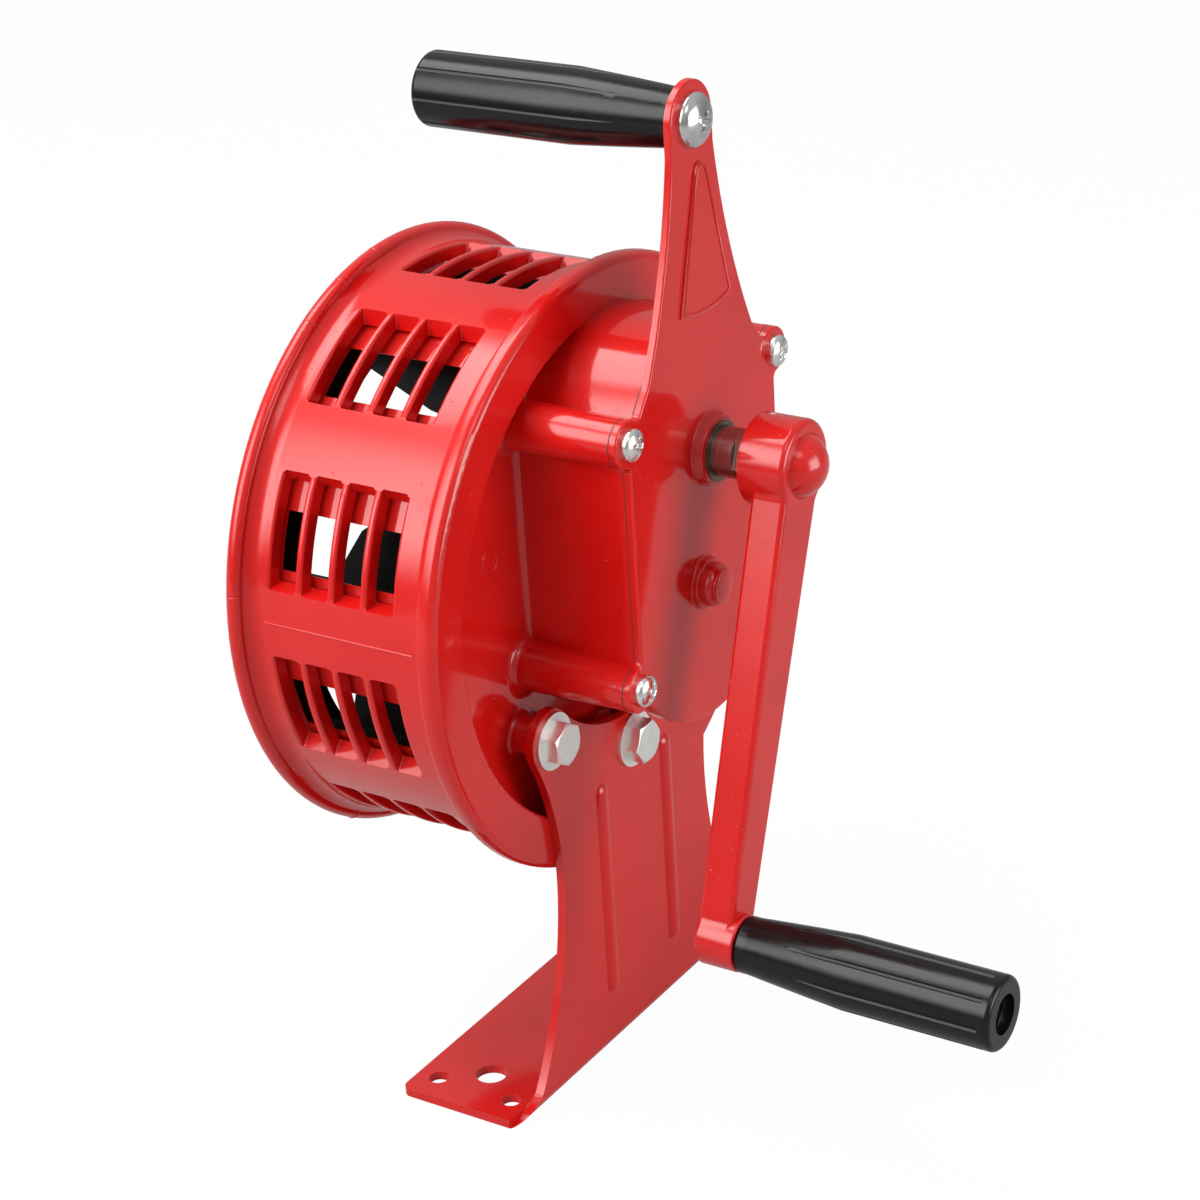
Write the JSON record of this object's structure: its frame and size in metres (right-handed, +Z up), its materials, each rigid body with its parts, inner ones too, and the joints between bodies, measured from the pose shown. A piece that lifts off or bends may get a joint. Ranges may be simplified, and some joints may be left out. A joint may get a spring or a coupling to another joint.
{
  "type": "hand crank siren",
  "caption": "Hand cranked air-raid siren: ported rotor in a slotted drum, geared crank on the front, bent sheet foot and a carrying grip.",
  "frame": {"origin": "centre of the foot's underside, on the middle plane of the stand", "axes": "+Z up, -Y towards the crank, +Y towards the open rear of the drum, the rotor's axis along Y"},
  "size_m": [0.2, 0.2365, 0.3285],
  "materials": {
    "red_casting": "gloss",
    "red_sheet": "gloss",
    "rotor_casting": "satin",
    "gasket": "matte",
    "zinc": "polished",
    "steel": "satin",
    "shaft_steel": "satin",
    "bronze": "satin",
    "black_plastic": "satin"
  },
  "bodies": {
    "frame": {"siren_housing": "red_casting", "gear_cover": "red_sheet", "cover_gasket": "gasket", "cover_screws": "zinc", "stand_bracket": "red_sheet", "stand_bolts": "zinc", "stand_washers": "zinc", "handle_bolt": "zinc", "top_grip": "black_plastic", "rotor_bearing": "steel", "rotor_bush": "bronze", "layshaft_bushes": "bronze", "crank_shaft_bush": "bronze", "crank_inner_bush": "bronze"},
    "rotor_assembly": {"rotor": "rotor_casting", "rotor_shaft": "steel", "rotor_key": "steel", "rotor_washer": "zinc", "rotor_nut": "zinc"},
    "layshaft_assembly": {"layshaft": "steel", "layshaft_gear": "steel", "layshaft_key": "steel"},
    "crank_assembly": {"crank_shaft": "shaft_steel", "crank_gear": "steel", "crank_gear_key": "steel", "crank_circlip": "steel", "crank_arm": "red_casting", "crank_nut": "zinc", "crank_cap": "red_sheet", "grip_spindle": "steel", "grip_washer": "zinc"},
    "turning_grip": {"crank_grip": "black_plastic"}
  },
  "joints": [
    {"name": "rotor_spin", "type": "hinge", "parent": "frame", "child": "rotor_assembly", "pos_m": [0, 0, 0.1682], "axis": [0, 1, 0], "continuous": true},
    {"name": "layshaft_spin", "type": "hinge", "parent": "frame", "child": "layshaft_assembly", "pos_m": [0.02265, 0, 0.1761], "axis": [0, 1, 0], "continuous": true},
    {"name": "crank_turn", "type": "hinge", "parent": "frame", "child": "crank_assembly", "pos_m": [0.007, 0, 0.2108], "axis": [0, 1, 0], "continuous": true},
    {"name": "grip_spin", "type": "hinge", "parent": "crank_assembly", "child": "turning_grip", "pos_m": [-0.0431, -0.134, 0.06941], "axis": [0, 1, 0], "continuous": true}
  ],
  "couplings": [
    {"joint": "layshaft_spin", "follows": "rotor_spin", "ratio": -0.26316},
    {"joint": "crank_turn", "follows": "rotor_spin", "ratio": 0.049342}
  ]
}
